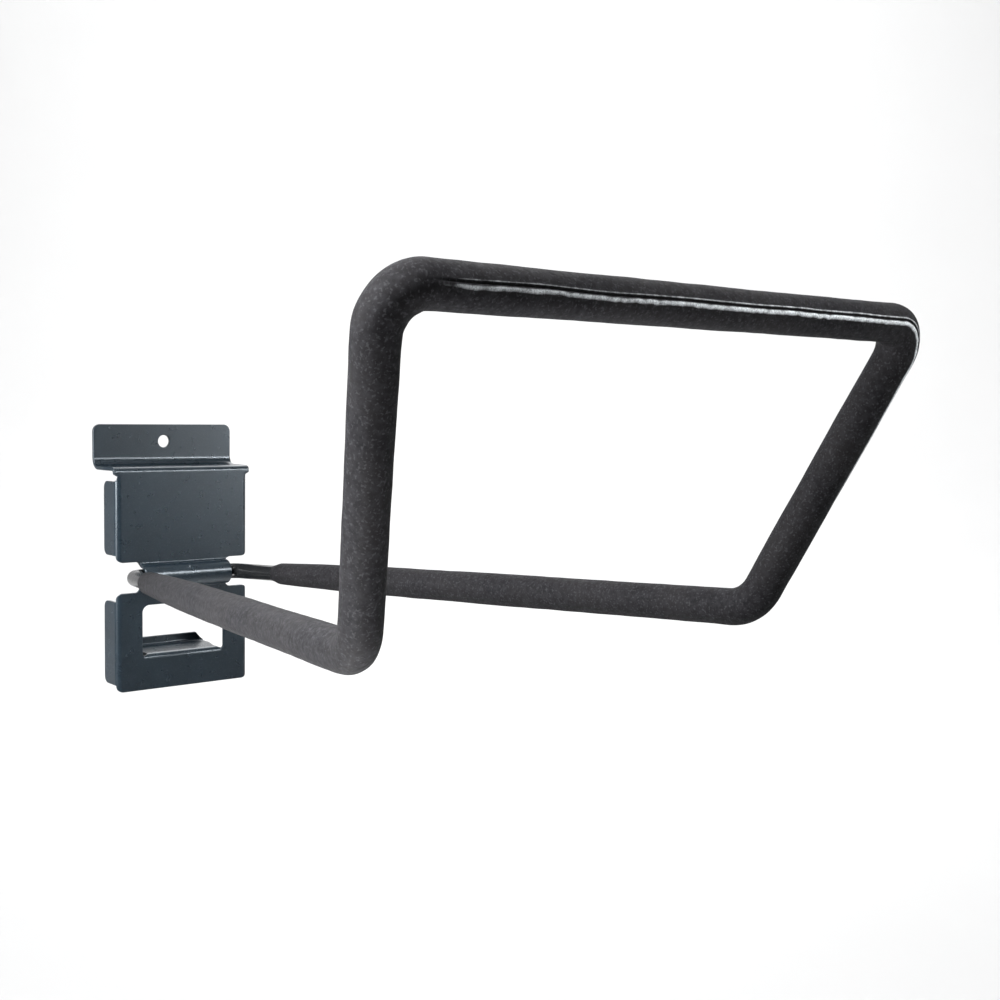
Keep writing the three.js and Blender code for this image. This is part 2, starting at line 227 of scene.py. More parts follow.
LOWER_LEDGE_MIDDLE = -SLOT_PITCH + SHEET / 2
TAB_ROOT = LOWER_LEDGE_MIDDLE - PLATE_BEND - SHEET / 2   # where the tab leaves the plate's plane
TAB_LEDGE = 1
TAB = FoldedLine([
    (PLATE_MIDDLE, TAB_ROOT, 0),
    (PLATE_MIDDLE, LOWER_LEDGE_MIDDLE, PLATE_BEND + SHEET / 2),
    (HOOK_MIDDLE, LOWER_LEDGE_MIDDLE, LOWER_HOOK_BEND + SHEET / 2),
    (HOOK_MIDDLE, -SLOT_PITCH + LOWER_HOOK_RISE, 0),
])


def on_upper(z):
    return STRIP.along(UPPER_PLATE, PLATE_MIDDLE, z)


def on_lower(z):
    return STRIP.along(LOWER_PLATE, PLATE_MIDDLE, z)


def on_ledge(y):
    return STRIP.along(LEDGE, y, SHEET / 2)


def on_tab(length):
    """The place on the flat blank of a length along the lower hook's tab."""
    return on_lower(TAB_ROOT) - length * LOWER_HOOK_SHRINK


def fold_strip(across, along, depth):
    """Folds a point of the flat blank, for the hook, ledge, plates, channel and side flanges."""
    point, heading = STRIP.at(along)
    over = max(abs(across) - FLAT_HALF, 0)
    radius = FLANGE_BEND + SHEET / 2
    angle = min(over / radius, math.pi / 2)
    flange = max(over - radius * math.pi / 2, 0)
    folded_across = min(abs(across), FLAT_HALF) + (radius - depth) * math.sin(angle)
    folded_depth = radius - (radius - depth) * math.cos(angle) + flange
    folding = smooth_step(on_upper(RELIEF_TOP), on_upper(UPPER_FLANGE[0]), along)
    x = abs(across) + (folded_across - abs(across)) * folding
    back = depth + (folded_depth - depth) * folding
    y = point.x - back * math.sin(heading)
    z = point.y + back * math.cos(heading)
    return Vector((math.copysign(x, across), y, z))


def fold_tab(across, along, depth):
    """Folds a point of the flat blank, for the lower hook that is struck back out of its window."""
    rise = on_lower(TAB_ROOT) - along
    point, heading = TAB.at(rise / LOWER_HOOK_SHRINK)
    y = point.x + depth * math.sin(heading)
    z = point.y - depth * math.cos(heading)
    return Vector((across, y, z))


def tab_share(across, along):
    """1 on the tab, 0 on the plates, and between them beside the tab's root."""
    into_window = WINDOW_HALF - abs(across)
    below_top = along - on_lower(WINDOW_TOP)
    if along >= on_lower(TAB_ROOT) or into_window <= 0 or into_window + below_top < TAB_CORNER_REACH:
        return 0
    if along < on_lower(WINDOW_BOTTOM + SHEET):
        return 1
    return smooth_step(WINDOW_HALF, LOWER_HOOK_ROOT_HALF, abs(across))


PUNCH_ACROSS = 0.2 * MM           # a small punch mark on the channel's upper front
PUNCH_TURN = math.radians(48)     # from the channel's start
PUNCH_ALONG = STRIP.bends[3][0] + CHANNEL_MIDDLE * PUNCH_TURN
PUNCH_WIDTH = 0.6 * MM
PUNCH_DEPTH = 0.35 * MM


def fold(across, along, depth):
    from_punch = math.hypot(across - PUNCH_ACROSS, along - PUNCH_ALONG)
    depth += PUNCH_DEPTH * bump(from_punch, PUNCH_WIDTH)
    folded = fold_strip(across, along, depth)
    share = tab_share(across, along)
    if share:
        folded = folded.lerp(fold_tab(across, along, depth), share)
    return folded


# ---------------------------------------------------------------- the flat blank
def rounded(corners):
    """A closed outline through [across, along, radius] corners, with its corners as arcs."""
    outline = []
    for index, (x, y, radius) in enumerate(corners):
        corner = Vector((x, y))
        before = (Vector(corners[index - 1][:2]) - corner).normalized()
        after = (Vector(corners[(index + 1) % len(corners)][:2]) - corner).normalized()
        if radius == 0:
            outline.append(corner)
            continue
        half = before.angle(after) / 2
        centre = corner + (before + after).normalized() * (radius / math.sin(half))
        start = corner + before * (radius / math.tan(half)) - centre
        end = corner + after * (radius / math.tan(half)) - centre
        turn = math.atan2(start.cross(end), start.dot(end))
        for step in range(CORNER_STEPS + 1):
            outline.append(centre + Matrix.Rotation(turn * step / CORNER_STEPS, 2) @ start)
    return outline


def mirrored(half):
    """An outline from its right half, given from the top down."""
    left = [(-x, y, radius) for x, y, radius in reversed(half)]
    return rounded(half + left)


def circle(across, along, radius, steps):
    turns = [2 * math.pi * step / steps for step in range(steps)]
    return [Vector((across + radius * math.cos(t), along + radius * math.sin(t))) for t in turns]


def blank_outline():
    bend_end = FLAT_HALF + (FLANGE_BEND + SHEET / 2) * math.pi / 2
    flange_end = bend_end + STAND_OFF - SHEET - FLANGE_BEND
    corner_side = bend_end - PLATE_CORNER_INSET
    half = [
        (HOOK_HALF, 0, HOOK_CORNER),
        (HOOK_HALF, on_ledge(LEDGE_NARROWS), HOOK_CORNER),
        (LEDGE_FRONT_HALF, on_ledge(-STAND_OFF + SHEET), LEDGE_REAR_CORNER),
        (LEDGE_FRONT_HALF, on_upper(RELIEF_TOP), LEDGE_FRONT_CORNER),
        (RELIEF_HALF, on_upper(RELIEF_TOP - RELIEF_SLOPE), NOTCH_CORNER),
        (RELIEF_HALF, on_upper(UPPER_FLANGE[0] + RELIEF_FOOT), NOTCH_CORNER),
        (bend_end, on_upper(UPPER_FLANGE[0]), NOTCH_CORNER),
        (flange_end, on_upper(UPPER_FLANGE[0]), FLANGE_CORNER),
        (flange_end, on_upper(UPPER_FLANGE[1]), FLANGE_CORNER),
        (corner_side, on_upper(UPPER_FLANGE[1]), FILLET),
        (corner_side, on_upper(UPPER_PLATE_BOTTOM), PLATE_CORNER),
        (NECK_HALF, on_upper(UPPER_PLATE_BOTTOM), NECK_CORNER),
        (NECK_HALF, on_lower(LOWER_PLATE_TOP), NECK_CORNER),
        (corner_side, on_lower(LOWER_PLATE_TOP), PLATE_CORNER),
        (corner_side, on_lower(LOWER_FLANGE[0]), FILLET),
        (flange_end, on_lower(LOWER_FLANGE[0]), FLANGE_CORNER),
        (flange_end, on_lower(LOWER_FLANGE[1]), FLANGE_CORNER),
        (corner_side, on_lower(LOWER_FLANGE[1]), FILLET),
        (corner_side, on_lower(LOWER_PLATE_BOTTOM), PLATE_CORNER),
    ]
    return mirrored(half)


def window_outline():
    """The window's edge, which runs round the lower hook's tab."""
    widens = TAB.along(TAB_LEDGE, -STAND_OFF + 2 * SHEET + LOWER_HOOK_WIDENS, LOWER_LEDGE_MIDDLE)
    widest = TAB.along(TAB_LEDGE, 0, LOWER_LEDGE_MIDDLE)
    rear = TAB.bends[1][0] + LOWER_HOOK_NARROWS
    return mirrored([
        (WINDOW_HALF, on_lower(WINDOW_TOP), WINDOW_CORNER),
        (WINDOW_HALF, on_lower(WINDOW_BOTTOM), ROOT_CORNER),
        (LOWER_HOOK_ROOT_HALF, on_lower(WINDOW_BOTTOM), ROOT_CORNER),
        (LOWER_HOOK_ROOT_HALF, on_tab(widens), WIDENING_CORNER),
        (LOWER_HOOK_REAR_HALF, on_tab(widest), REAR_CORNER),
        (LOWER_HOOK_REAR_HALF, on_tab(rear), NARROWING_CORNER),
        (LOWER_HOOK_TOP_HALF, on_tab(TAB.length), TIP_CORNER),
    ])


def evenly(start, end, steps):
    """Numbers from start to end, at even steps."""
    return [start + (end - start) * step / steps for step in range(steps + 1)]


def fold_lines():
    """Lines drawn on the blank, closely over each bend, as (axis, value, low, high)."""
    wide = 45 * MM                # past both edges of the blank
    margin = 1 * MM               # the side bends' lines stop this far inside a plate's ends
    root_margin = 0.2 * MM
    relief_steps = 8
    root_steps = 6
    lines = []
    for start, end in STRIP.bends:
        lines += [(1, place, -wide, wide) for place in evenly(start, end, BEND_STEPS)]
    for start, end in TAB.bends:
        places = evenly(start, end, BEND_STEPS)
        lines += [(1, on_tab(place), -WINDOW_HALF, WINDOW_HALF) for place in places]
    relief = evenly(on_upper(RELIEF_TOP), on_upper(UPPER_FLANGE[0]), relief_steps)
    lines += [(1, place, -wide, wide) for place in relief]
    bend_length = (FLANGE_BEND + SHEET / 2) * math.pi / 2
    zones = [
        (on_upper(RELIEF_TOP + margin), on_upper(UPPER_PLATE_BOTTOM - margin)),
        (on_lower(LOWER_PLATE_TOP + margin), on_lower(LOWER_PLATE_BOTTOM - margin)),
    ]
    for low, high in zones:
        for place in evenly(FLAT_HALF, FLAT_HALF + bend_length, BEND_STEPS):
            lines += [(0, place, low, high), (0, -place, low, high)]
    low = on_lower(WINDOW_BOTTOM + WINDOW_CORNER)
    high = on_lower(TAB_ROOT) + root_margin
    for place in evenly(LOWER_HOOK_ROOT_HALF, WINDOW_HALF, root_steps):
        lines += [(0, place, low, high), (0, -place, low, high)]
    return lines


def inset(outline, distance):
    """Each point of an outline, moved to its left, where the metal is."""
    moved = []
    for index, point in enumerate(outline):
        arriving = (point - outline[index - 1]).normalized()
        leaving = (outline[(index + 1) % len(outline)] - point).normalized()
        sides = Vector((-arriving.y, arriving.x)), Vector((-leaving.y, leaving.x))
        moved.append(point + (sides[0] + sides[1]) / (1 + sides[0].dot(sides[1])) * distance)
    return moved


def crossings(start, end, lines):
    """How far along an edge, from 0 to 1, it meets each of the fold lines that it crosses."""
    found = set()
    for axis, value, low, high in lines:
        before, after = start[axis] - value, end[axis] - value
        if before * after < 0:
            share = before / (before - after)
            if low <= start.lerp(end, share)[1 - axis] <= high:
                found.add(share)
    return sorted(found)


def edge_ring(outline, lines, hole=False):
    """Pairs of a point on an outline and the point in the metal where its rounded edge ends."""
    area = sum(outline[index - 1].cross(point) for index, point in enumerate(outline))
    if (area < 0) != hole:
        outline = outline[::-1]
    inner = inset(outline, EDGE_ROUND)
    ring = []
    for index, point in enumerate(outline):
        after = (index + 1) % len(outline)
        ring.append((point, inner[index]))
        for share in crossings(inner[index], inner[after], lines):
            ring.append((point.lerp(outline[after], share), inner[index].lerp(inner[after], share)))
    return ring


def covered(points, rings):
    """Which of these points lie on metal: inside an odd number of outlines."""
    inside = np.zeros(len(points), bool)
    for ring in rings:
        corners = np.array(ring)
        for start, end in zip(corners, np.roll(corners, -1, axis=0)):
            spans = (start[1] > points[:, 1]) != (end[1] > points[:, 1])
            if start[1] != end[1]:
                slope = (end[0] - start[0]) / (end[1] - start[1])
                inside ^= spans & (points[:, 0] < start[0] + (points[:, 1] - start[1]) * slope)
    return inside


def triangulated(rings, lines, extra):
    """The blank's flat face as points and triangles, with an edge along every fold line."""
    points = []
    edges = []
    for loop in rings + extra:
        first = len(points)
        points += loop
        edges += [(first + index, first + (index + 1) % len(loop)) for index in range(len(loop))]
    for axis, value, low, high in lines:
        ends = [(value, low), (value, high)] if axis == 0 else [(low, value), (high, value)]
        edges.append((len(points), len(points) + 1))
        points += [Vector(end) for end in ends]
    in_mm = [point / MM for point in points]
    tolerance = 1e-5
    found, _, triangles, _, _, _ = delaunay_2d_cdt(in_mm, edges, [], 0, tolerance)
    flat = np.array([list(point) for point in found]) * MM
    centres = flat[np.array(triangles)].mean(axis=1)
    kept = covered(centres, [[tuple(point) for point in ring] for ring in rings])
    return flat, [list(triangle) for triangle, keep in zip(triangles, kept) if keep]


def punch_rings():
    """Rings on the blank round the punch mark, so that its dent has points to sink."""
    sides = 20
    sizes = (0.3, 0.7, 1.1, 1.6)
    return [circle(PUNCH_ACROSS, PUNCH_ALONG, PUNCH_WIDTH * size, sides) for size in sizes]


def wall_bracket():
    lines = fold_lines()
    hole_sides = 64
    screw_hole = circle(0, HOOK_TOP - SCREW_HOLE_HEIGHT, SCREW_HOLE_RADIUS, hole_sides)
    rings = [edge_ring(blank_outline(), lines)]
    rings += [edge_ring(hole, lines, hole=True) for hole in (window_outline(), screw_hole)]
    flat_rings = [[inner for _, inner in ring] for ring in rings]
    flat, triangles = triangulated(flat_rings, lines, punch_rings())
    vertices = []
    faces = []
    for depth in (-SHEET / 2, SHEET / 2):
        first = len(vertices)
        vertices += [fold(across, along, depth) for across, along in flat]
        faces += [[first + corner for corner in triangle] for triangle in triangles]
    used = sorted({corner for face in faces for corner in face})
    renumbered = {corner: place for place, corner in enumerate(used)}
    vertices = [vertices[corner] for corner in used]
    faces = [[renumbered[corner] for corner in face] for face in faces]
    profile = edge_profile()
    for ring in rings:
        first = len(vertices)
        for share, depth in profile:
            vertices += [fold(*outer.lerp(inner, share), depth) for outer, inner in ring]
        count = len(ring)
        for row in range(len(profile) - 1):
            for index in range(count):
                low = first + row * count
                after = (index + 1) % count
                faces.append([low + index, low + after, low + count + after, low + count + index])
    return new_object("wall_bracket_sheet", vertices, faces)


def edge_profile():
    """The rounded edge from the front face to the back: (share of the inset, depth)."""
    steps = 4
    angles = [math.pi / 2 * step / steps for step in range(steps + 1)]
    front = [(1 - math.sin(a), -SHEET / 2 + EDGE_ROUND * (1 - math.cos(a))) for a in angles]
    back = [(share, -depth) for share, depth in reversed(front)]
    return front + back


# ---------------------------------------------------------------- bent bar and what lies around it
class Station:
    """A place on the loop's centre line: point, heading, two directions across it, and its bend."""

    def __init__(self, point, heading, side, place):
        self.point = point
        self.heading = heading
        self.side = side
        self.other = heading.cross(side)
        self.place = place
        self.bend = Vector((0, 0, 0))

    def mirror(self):
        flipped = Station(flip(self.point), -flip(self.heading), flip(self.side), -self.place)
        flipped.bend = flip(self.bend)
        return flipped

    def outward(self, angle):
        return self.side * math.cos(angle) + self.other * math.sin(angle)


def flip(vector):
    return Vector((-vector.x, vector.y, vector.z))


def half_loop_points(spacing):
    """The loop's centre line at even steps, from the middle of its top bar to its cut end, right side."""
    corners = [
        (Vector((0, UPPER_CORNER.y, UPPER_CORNER.z)), 0),
        (UPPER_CORNER, UPPER_BEND),
        (LOWER_CORNER, LOWER_BEND),
        (ARM_CORNER, ARM_BEND),
        (Vector((END_GAP / 2, ARM_CORNER.y, ARM_CORNER.z)), 0),
    ]
    points = [corners[0][0]]
    for index in range(1, len(corners) - 1):
        corner, radius = corners[index]
        back = (corners[index - 1][0] - corner).normalized()
        ahead = (corners[index + 1][0] - corner).normalized()
        half = back.angle(ahead) / 2
        start = corner + back * (radius / math.tan(half))
        centre = corner + (back + ahead).normalized() * (radius / math.sin(half))
        add_straight(points, start, spacing)
        turn = math.pi - 2 * half
        steps = math.ceil(radius * turn / spacing)
        axis = ahead.cross(back)
        for step in range(1, steps + 1):
            rotation = Matrix.Rotation(turn * step / steps, 3, axis)
            points.append(centre + rotation @ (start - centre))
    add_straight(points, corners[-1][0], spacing)
    return points


def add_straight(points, end, spacing):
    start = points[-1]
    steps = math.ceil((end - start).length / spacing)
    points += [start.lerp(end, step / steps) for step in range(1, steps + 1)]


CREASE_TILT = math.radians(5)     # the foam's parting crease, above level, on the top bar's front
BEND_REACH = 4 * MM               # a bend is felt this far before and after it
BORE_EVERY = 6                    # a bore needs a ring only at every sixth station


def loop_stations(spacing, until=None):
    """The whole loop, left to right, with directions across it that don't twist along the way."""
    points = half_loop_points(spacing)
    side = Vector((0, -math.cos(CREASE_TILT), math.sin(CREASE_TILT)))
    right = []
    place = 0
    for index, point in enumerate(points):
        before = points[max(index - 1, 0)]
        after = points[min(index + 1, len(points) - 1)]
        heading = (after - before).normalized() if index else Vector((1, 0, 0))
        side = (side - heading * side.dot(heading)).normalized()
        place += (point - before).length
        if until is not None and place > until:
            break
        right.append(Station(point, heading, side, place))
    reach = round(BEND_REACH / spacing)
    for index, station in enumerate(right):
        before = right[max(index - reach, 0)]
        after = right[min(index + reach, len(right) - 1)]
        gone = max(after.place - before.place, spacing)
        station.bend = (after.heading - before.heading) / gone
    return [station.mirror() for station in reversed(right[1:])] + right


def tube(name, stations, angles, radius_at, bore=None, mark_at=None):
    """A skin around the stations, closed at its ends, or with a bore of that radius all along."""
    count = len(angles)
    rings = [[s.point + s.outward(a) * radius_at(s, a) for a in angles] for s in stations]
    if bore is not None:
        inner = list(reversed(stations[::BORE_EVERY] + [stations[-1]]))
        rings += [[s.point + s.outward(a) * bore for a in angles] for s in inner]
    vertices = [point for ring in rings for point in ring]
    marks = None
    if mark_at is not None:
        marks = [mark_at(s, a) for s in stations for a in angles]
        marks += [0] * (len(vertices) - len(marks))
    faces = []
    joins = len(rings) if bore is not None else len(rings) - 1
    for row in range(joins):
        low = row * count
        high = (row + 1) % len(rings) * count
        for index in range(count):
            after = (index + 1) % count
            faces.append([low + index, low + after, high + after, high + index])
    if bore is None:
        faces.append(list(range(count)))
        faces.append(list(range((len(rings) - 1) * count, len(rings) * count)))
    return new_object(name, vertices, faces, marks)


def all_round(sides):
    return [2 * math.pi * side / sides for side in range(sides)]


def loop_bar():
    angles = all_round(sides=64)
    stations = loop_stations(spacing=1 * MM)
    ends = (stations[0].place, stations[-1].place)
    chamfer = 0.4 * MM

    def radius_at(station, angle):
        from_end = min(station.place - ends[0], ends[1] - station.place)
        return BAR_RADIUS - chamfer * max(1 - from_end / chamfer, 0)

    return tube("loop_bar_coated", stations, angles, radius_at)


# ---------------------------------------------------------------- foam sleeve
FOAM_SHOULDER = 4.6 * MM          # the foam's end rises from the bar over this distance
FOAM_SHOULDER_RADIUS = 4.35 * MM
FOAM_END_SHARE = 0.12             # of the shoulder's height, at once where the foam ends
LEFT_DOME_POWER = 2.2             # the left end is a dome, and the right one an S
FOAM_SWELL = 42 * MM              # beyond its shoulder the foam swells over about this distance
FOAM_BORE = BAR_RADIUS + 0.04 * MM
FULL_BY = 30 * MM                 # the foam's unevenness is at full size this far from its ends
RIGHT_END_SHORTER = 1.2 * MM
# Places along the loop are measured from the middle of the top bar.
UPRIGHT_MIDDLE = 145 * MM
UPRIGHT_REACH = 45 * MM
UPRIGHT_CHANGE = 0.22 * MM        # the left upright is slimmer by this, and the right one fuller
TOP_FLATTER = 0.3 * MM
TOP_BAR_REACH = (70 * MM, 90 * MM)   # the flatter top fades out between these two places
LOWER_CORNERS_FROM = 140 * MM
GROWTH_POWER = 1.5
# How much the foam grows on the inner and the outer side of each bend.
BEND_GROWTH = {
    ("left", "upper"): (0.7 * MM, -0.25 * MM),
    ("right", "upper"): (0.7 * MM, 1.2 * MM),
    ("left", "lower"): (0.55 * MM, -0.75 * MM),
    ("right", "lower"): (0.05 * MM, 0.4 * MM),
}
CREASE_FROM = -88 * MM            # the crease starts near the left end of the top bar
CREASE_UNTIL = 175 * MM           # and fades out on the right upright
CREASE_FADE_IN = 14 * MM
CREASE_FADE_OUT = 75 * MM
CREASE_WANDER = 0.35 * MM
GROOVE_WIDTH = 0.26 * MM
GROOVE_DEPTH = 0.36 * MM
UPPER_LIP = -0.62 * MM            # across the foam, from the groove
UPPER_LIP_WIDTH = 0.3 * MM
UPPER_LIP_SHARE = 0.6             # of the lower lip's height
LOWER_LIP = 0.92 * MM
LOWER_LIP_WIDTH = 0.62 * MM
LIP_HEIGHT = 0.26 * MM
LIP_SHARE = 0.95                  # of that height on average, and how much it varies along the lips
LIP_SHARE_VARIES = 0.4
LIP_RAGGED = 0.25 * MM
LIPS_AT_START = 0.55              # share of the lips' height, which grows to 1 along the top bar
LIPS_FULL_BY = 60 * MM


def foam_length():
    """From the middle of the top bar to the foam's end."""
    points = half_loop_points(spacing=1 * MM)
    along_arm = (LOWER_CORNER - ARM_CORNER).normalized()
    place = 0
    for before, after in zip(points, points[1:]):
        place += (after - before).length
        if place > UPPER_CORNER.x + (LOWER_CORNER - UPPER_CORNER).length:
            if (after - ARM_CORNER).dot(along_arm) <= FOAM_START:
                return place
    raise RuntimeError("the foam doesn't reach its end")


FOAM_END = foam_length()


def uneven(place, size, row):
    """Noise from -1 to 1 along the loop, in waves of that size. Each row is another pattern."""
    return noise.noise(Vector((place / size, row, 0)))


def crease(station, angle):
    """The parting crease at that place: its groove, and its raised lips on either side."""
    place = station.place
    strength = smooth_step(CREASE_FROM, CREASE_FROM + CREASE_FADE_IN, place)
    strength *= smooth_step(CREASE_UNTIL, CREASE_UNTIL - CREASE_FADE_OUT, place)
    if strength == 0:
        return 0, 0
    wander = CREASE_WANDER * uneven(place, size=22 * MM, row=3.1)
    offset = math.remainder(angle, 2 * math.pi) * FOAM_RADIUS - wander
    grown = LIPS_AT_START + (1 - LIPS_AT_START) * smooth_step(CREASE_FROM, LIPS_FULL_BY, place)
    rough = LIP_SHARE + LIP_SHARE_VARIES * uneven(place, size=1.8 * MM, row=9.7)
    ragged = LIP_RAGGED * uneven(place, size=2.4 * MM, row=5.3)
    lips = UPPER_LIP_SHARE * bump(offset - UPPER_LIP, UPPER_LIP_WIDTH)
    lips += bump(offset - LOWER_LIP - ragged, LOWER_LIP_WIDTH)
    return strength * bump(offset, GROOVE_WIDTH), strength * grown * rough * lips


def shoulder_radius(share, right):
    """The foam's radius in its end's shoulder, at a share of the shoulder's length."""
    domed = math.sqrt(1 - (1 - share) ** LEFT_DOME_POWER)
    rise = smooth_step(0, 1, share) if right else domed
    height = FOAM_END_SHARE + (1 - FOAM_END_SHARE) * rise
    return FOAM_BORE + (FOAM_SHOULDER_RADIUS - FOAM_BORE) * height


def foam_radius(station, angle):
    right = station.place > 0
    from_end = max(FOAM_END - abs(station.place) - (RIGHT_END_SHORTER if right else 0), 0)
    shoulder = min(from_end / FOAM_SHOULDER, 1)
    if shoulder < 1:
        radius = shoulder_radius(shoulder, right)
    else:
        swelling = math.exp(-(from_end - FOAM_SHOULDER) / FOAM_SWELL)
        radius = FOAM_RADIUS - (FOAM_RADIUS - FOAM_SHOULDER_RADIUS) * swelling
    full = smooth_step(0, FULL_BY, from_end)

    # The left upright is a little slimmer than the right one, and the top bar is flatter on top.
    outward = station.outward(angle)
    upright = bump(abs(station.place) - UPRIGHT_MIDDLE, UPRIGHT_REACH)
    radius += math.copysign(UPRIGHT_CHANGE, station.place) * upright * full
    top_bar = smooth_step(TOP_BAR_REACH[1], TOP_BAR_REACH[0], abs(station.place))
    radius -= TOP_FLATTER * max(outward.z, 0) * top_bar

    # Foam crowds together inside a bend, and stretches or bulges outside it. The upper corners do
    # so at their sides only.
    level = "lower" if abs(station.place) > LOWER_CORNERS_FROM else "upper"
    inner, outer = BEND_GROWTH["right" if right else "left", level]
    if level == "upper":
        outer *= abs(outward.x)
    inside = station.bend.dot(outward) * UPPER_BEND
    growth = max(inside, 0) ** GROWTH_POWER * inner + max(-inside, 0) ** GROWTH_POWER * outer
    radius += growth * full

    # Slow waves in the skin.
    spot = station.point + outward * FOAM_RADIUS
    for height, size in ((0.16 * MM, 26 * MM), (0.08 * MM, 6 * MM)):
        radius += height * noise.noise(spot / size) * full

    groove, lips = crease(station, angle)
    return radius + LIP_HEIGHT * lips - GROOVE_DEPTH * groove


def foam_mark(station, angle):
    """Up to 1 on the crease's lips, where a highlight is painted, and below 0 in its groove, where shade
    is painted.
    """
    groove, lips = crease(station, angle)
    return lips - groove


def foam_angles():
    """Angles round the foam, closer together over the crease."""
    fine_steps = 26
    coarse_steps = 66
    half_width = 2.4 * MM
    reach = half_width / FOAM_RADIUS
    across_crease = evenly(-reach, reach, fine_steps)
    rest = evenly(reach, 2 * math.pi - reach, coarse_steps)[1:-1]
    return across_crease + rest


def foam_sleeve():
    stations = loop_stations(spacing=0.6 * MM, until=FOAM_END)
    kept = [station for station in stations if station.place <= FOAM_END - RIGHT_END_SHORTER]
    angles = foam_angles()
    return tube("foam_sleeve_skin", kept, angles, foam_radius, bore=FOAM_BORE, mark_at=foam_mark)


# ---------------------------------------------------------------- weld beads
def weld_bead(name, node):
    """A bead with overlapping ripples, as long as its CAD solid and touching the bar and the sheet."""
    low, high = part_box(node)
    centre = (low + high) / 2
    half_length = (high.x - low.x) / 2
    fuller = 0.36 * MM            # than the CAD solid, which stands clear of the bar and the sheet
    radius = (high.y - low.y) / 2 + fuller
    end_taper = 1.6 * MM
    blunt = 0.02                  # keeps the taper's tip from closing
    ripple_pitch = 1.25 * MM
    ripple_height = 0.09 * MM
    ripple_curve = 0.9 * MM       # the ripples bow along the bead by this
    ripple_power = 0.7
    sway = 0.12 * MM
    sway_size = 2.5 * MM
    pattern_x, pattern_z = centre.x * 900, centre.z * 900   # each bead sways in its own way
    stations = []
    for x in evenly(-half_length, half_length, steps=110):
        aside = sway * noise.noise(Vector((pattern_x + x / sway_size, pattern_z, 0)))
        point = centre + Vector((x, aside, aside))
        stations.append(Station(point, Vector((1, 0, 0)), Vector((0, 1, 0)), x))

    def radius_at(station, angle):
        from_end = half_length - abs(station.place)
        taper = math.sqrt(max(1 - max(1 - from_end / end_taper, 0) ** 2, blunt))
        phase = (station.place + ripple_curve * math.cos(angle)) / ripple_pitch
        ripple = ripple_height * (phase % 1) ** ripple_power
        return (radius - ripple_height + ripple) * taper

    return tube(name, stations, all_round(sides=36), radius_at)


# ---------------------------------------------------------------- materials
class Paint:
    """One procedural material, whose patterns are sized in metres on the object."""

    def __init__(self, name):
        self.material = bpy.data.materials.new(name)
        self.material.use_nodes = True
        self.tree = self.material.node_tree
        self.shader = self.tree.nodes["Principled BSDF"]
        self.place = self.node("ShaderNodeTexCoord").outputs["Object"]

    def node(self, kind, **settings):
        made = self.tree.nodes.new(kind)
        for key, value in settings.items():
            setattr(made, key, value)
        return made

    def link(self, start, end):
        self.tree.links.new(start, end)

    def noise(self, size, detail=2, roughness=0.5):
        """A grey noise whose features are about this many metres across."""
        made = self.node("ShaderNodeTexNoise")
        made.inputs["Scale"].default_value = 1 / size
        made.inputs["Detail"].default_value = detail
        made.inputs["Roughness"].default_value = roughness
        self.link(self.place, made.inputs["Vector"])
        return made.outputs["Fac"]

    def cells(self, size):
        made = self.node("ShaderNodeTexVoronoi", feature="SMOOTH_F1")
        made.inputs["Scale"].default_value = 1 / size
        made.inputs["Smoothness"].default_value = 0.6
        self.link(self.place, made.inputs["Vector"])
        return made.outputs["Distance"]

    def attribute(self, name):
        return self.node("ShaderNodeAttribute", attribute_name=name).outputs["Fac"]

    def multiply(self, first, second):
        made = self.node("ShaderNodeMath", operation="MULTIPLY")
        self.link(first, made.inputs[0])
        self.link(second, made.inputs[1])
        return made.outputs["Value"]

    def spread(self, value, low, high, to_low=0.0, to_high=1.0):
        """Maps low..high to to_low..to_high, clamped."""
        made = self.node("ShaderNodeMapRange")
        made.inputs["From Min"].default_value = low
        made.inputs["From Max"].default_value = high
        made.inputs["To Min"].default_value = to_low
        made.inputs["To Max"].default_value = to_high
        self.link(value, made.inputs["Value"])
        return made.outputs["Result"]

    def patches(self, size, low=0.0, high=1.0):
        """Soft patches about this many metres across, between the two values."""
        return self.spread(self.noise(size, 3), 0.3, 0.7, low, high)

    def mix(self, share, first, second):
        """Mixes two colours, each an RGB tuple or another mix's output."""
        made = self.node("ShaderNodeMix", data_type="RGBA")
        self.link(share, made.inputs["Factor"])
        for key, colour in (("A", first), ("B", second)):
            socket = [s for s in made.inputs if s.name == key and s.type == "RGBA"][0]
            if isinstance(colour, tuple):
                socket.default_value = (*colour, 1)
            else:
                self.link(colour, socket)
        return [s for s in made.outputs if s.type == "RGBA"][0]

    def colour(self, output):
        self.link(output, self.shader.inputs["Base Color"])

    def roughness(self, output):
        self.link(output, self.shader.inputs["Roughness"])

    def relief(self, output, height, strength=1.0, below=None):
        """Bump of that height in metres, laid over the relief given as below."""
        made = self.node("ShaderNodeBump")
        made.inputs["Distance"].default_value = height
        made.inputs["Strength"].default_value = strength
        self.link(output, made.inputs["Height"])
        if below is not None:
            self.link(below, made.inputs["Normal"])
        self.link(made.outputs["Normal"], self.shader.inputs["Normal"])
        return made.outputs["Normal"]


